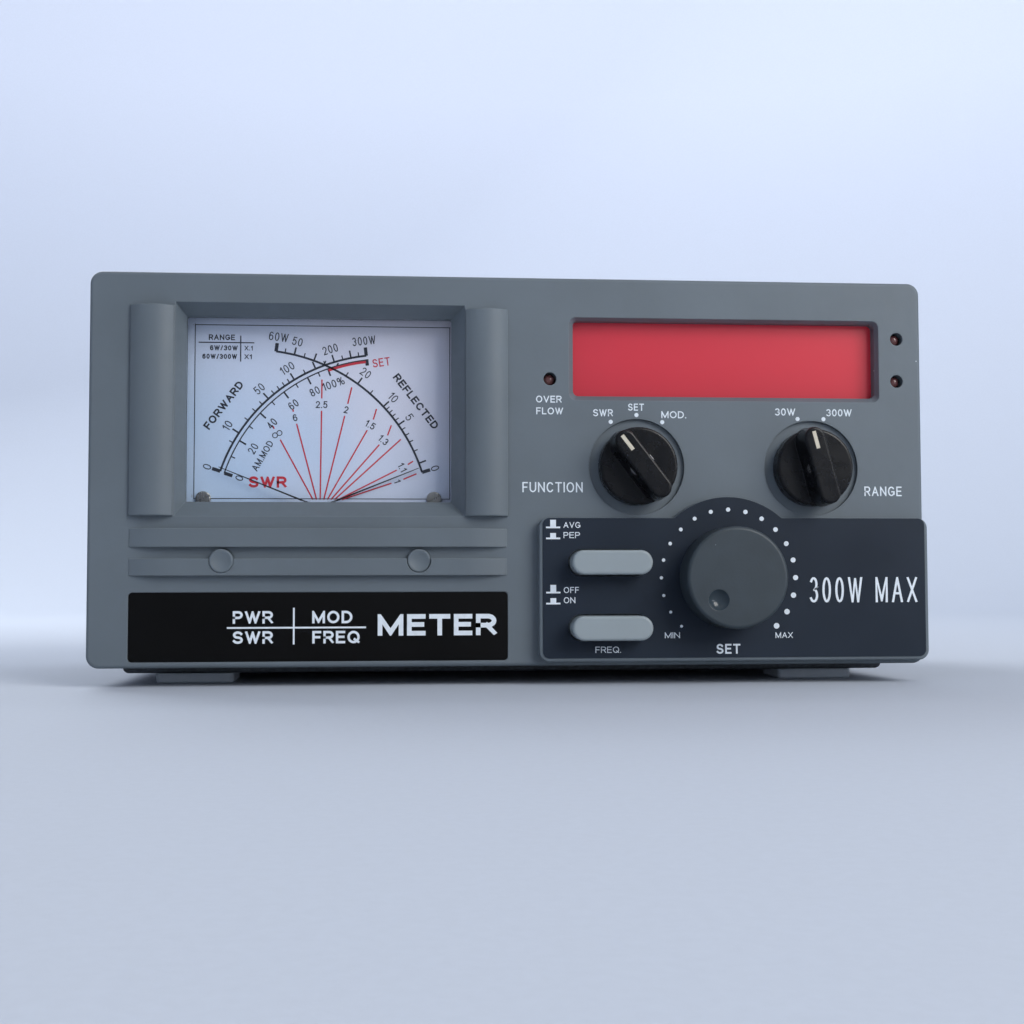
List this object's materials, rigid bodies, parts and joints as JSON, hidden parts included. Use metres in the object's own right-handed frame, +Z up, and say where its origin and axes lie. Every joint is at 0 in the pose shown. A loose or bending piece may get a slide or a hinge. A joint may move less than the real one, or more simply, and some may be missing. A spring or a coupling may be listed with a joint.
{
  "type": "swr meter",
  "caption": "Desk-top amateur radio SWR and power meter with a cross-needle dial, red frequency display, turning knobs, push buttons and rear coaxial sockets.",
  "frame": {"origin": "on the table under the centre of the overall bounding box, at the plane of the feet's undersides", "axes": "+Z up; the front faces -Y, so -Y is towards the user; +X to the right seen from the front, along the longest side"},
  "size_m": [0.204, 0.143, 0.0996],
  "materials": {
    "grey_bezel": "fine satin moulding",
    "black_label": "satin printed plate",
    "dark_label": "satin printed plate",
    "red_filter": "polished red tint",
    "case_paint": "textured dark paint",
    "foot_rubber": "moulded rubber",
    "screw_steel": "nickel plated",
    "plate_steel": "zinc plated sheet",
    "clear_cover": "polished clear moulding",
    "black_moulding": "moulded",
    "dial_paint": "printed scale plate",
    "magnet_iron": "ground magnet",
    "turned_brass": "turned",
    "lamp_glass": "clear bulb",
    "digit_plastic": "dark moulded face",
    "board_green": "solder-masked board",
    "led_red": "tinted lamp body, unlit",
    "can_sleeve": "shrink sleeve",
    "header_plastic": "moulded",
    "cable_plastic": "flexible flat cable",
    "coupler_metal": "plated sheet box",
    "ferrite": "sintered ferrite",
    "plated_metal": "bright nickel plating",
    "white_insulator": "turned insulator",
    "knob_gloss": "glossy moulding",
    "cream_inlay": "paint-filled line",
    "shaft_metal": "turned shaft",
    "knob_matte": "fine matte moulding",
    "button_grey": "satin moulding",
    "needle_paint": "black painted pointer",
    "pale_moulding": "white moulding that spreads the lamps' light"
  },
  "bodies": {
    "chassis": {"front_bezel": "grey_bezel", "name_label": "black_label", "control_label": "dark_label", "zero_adjust_plugs": "grey_bezel", "display_filter": "red_filter", "top_cover": "case_paint", "bottom_chassis": "case_paint", "rear_panel": "case_paint", "rubber_feet": "foot_rubber", "feet_screws": "screw_steel", "case_screws": "screw_steel", "bezel_screws": "screw_steel", "control_plate": "plate_steel", "meter_cover": "clear_cover", "meter_base": "pale_moulding", "meter_dial": "dial_paint", "dial_screws": "screw_steel", "meter_yokes": "plate_steel", "meter_magnets": "magnet_iron", "meter_bridges": "turned_brass", "meter_terminals": "turned_brass", "meter_lamps": "lamp_glass", "display_digits": "digit_plastic", "display_board": "board_green", "overflow_led": "led_red", "status_leds": "led_red", "rotary_switches": "black_moulding", "set_potentiometer": "plate_steel", "control_nuts": "screw_steel", "push_switches": "black_moulding", "main_board": "board_green", "board_standoffs": "turned_brass", "board_screws": "screw_steel", "board_capacitors": "can_sleeve", "board_chips": "black_moulding", "cable_headers": "header_plastic", "ribbon_cable": "cable_plastic", "coupler_housing": "coupler_metal", "coupler_lid": "coupler_metal", "coupler_board": "board_green", "toroid_cores": "ferrite", "through_line": "turned_brass", "socket_shells": "plated_metal", "socket_insulators": "white_insulator", "socket_contacts": "turned_brass", "socket_screws": "screw_steel", "dc_jack": "black_moulding", "dc_jack_nut": "plated_metal"},
    "function_knob": {"function_knob": "knob_gloss", "function_pointer": "cream_inlay", "function_shaft": "shaft_metal"},
    "range_knob": {"range_knob": "knob_gloss", "range_pointer": "cream_inlay", "range_shaft": "shaft_metal"},
    "set_knob": {"set_knob": "knob_matte", "set_shaft": "shaft_metal"},
    "avg_pep_button": {"avg_pep_button": "button_grey"},
    "freq_button": {"freq_button": "button_grey"},
    "forward_needle": {"forward_needle": "needle_paint"},
    "reflected_needle": {"reflected_needle": "needle_paint"}
  },
  "joints": [
    {"name": "function_turn", "type": "hinge", "parent": "chassis", "child": "function_knob", "pos_m": [0.03, -0.0625, 0.05305], "axis": [0, 1, 0], "range_deg": [0, 60]},
    {"name": "range_turn", "type": "hinge", "parent": "chassis", "child": "range_knob", "pos_m": [0.0737, -0.0625, 0.0529], "axis": [0, 1, 0], "range_deg": [0, 30]},
    {"name": "set_turn", "type": "hinge", "parent": "chassis", "child": "set_knob", "pos_m": [0.0519, -0.0625, 0.02585], "axis": [0, 1, 0], "range_deg": [0, 270]},
    {"name": "avg_pep_push", "type": "slide", "parent": "chassis", "child": "avg_pep_button", "axis": [0, 1, 0], "range_m": [0, 0.003]},
    {"name": "freq_push", "type": "slide", "parent": "chassis", "child": "freq_button", "axis": [0, 1, 0], "range_m": [0, 0.003]},
    {"name": "forward_swing", "type": "hinge", "parent": "chassis", "child": "forward_needle", "pos_m": [-0.03145, -0.0465, 0.0369], "axis": [0, 1, 0], "range_deg": [0, 62]},
    {"name": "reflected_swing", "type": "hinge", "parent": "chassis", "child": "reflected_needle", "pos_m": [-0.06425, -0.0465, 0.0369], "axis": [0, -1, 0], "range_deg": [0, 62]}
  ]
}
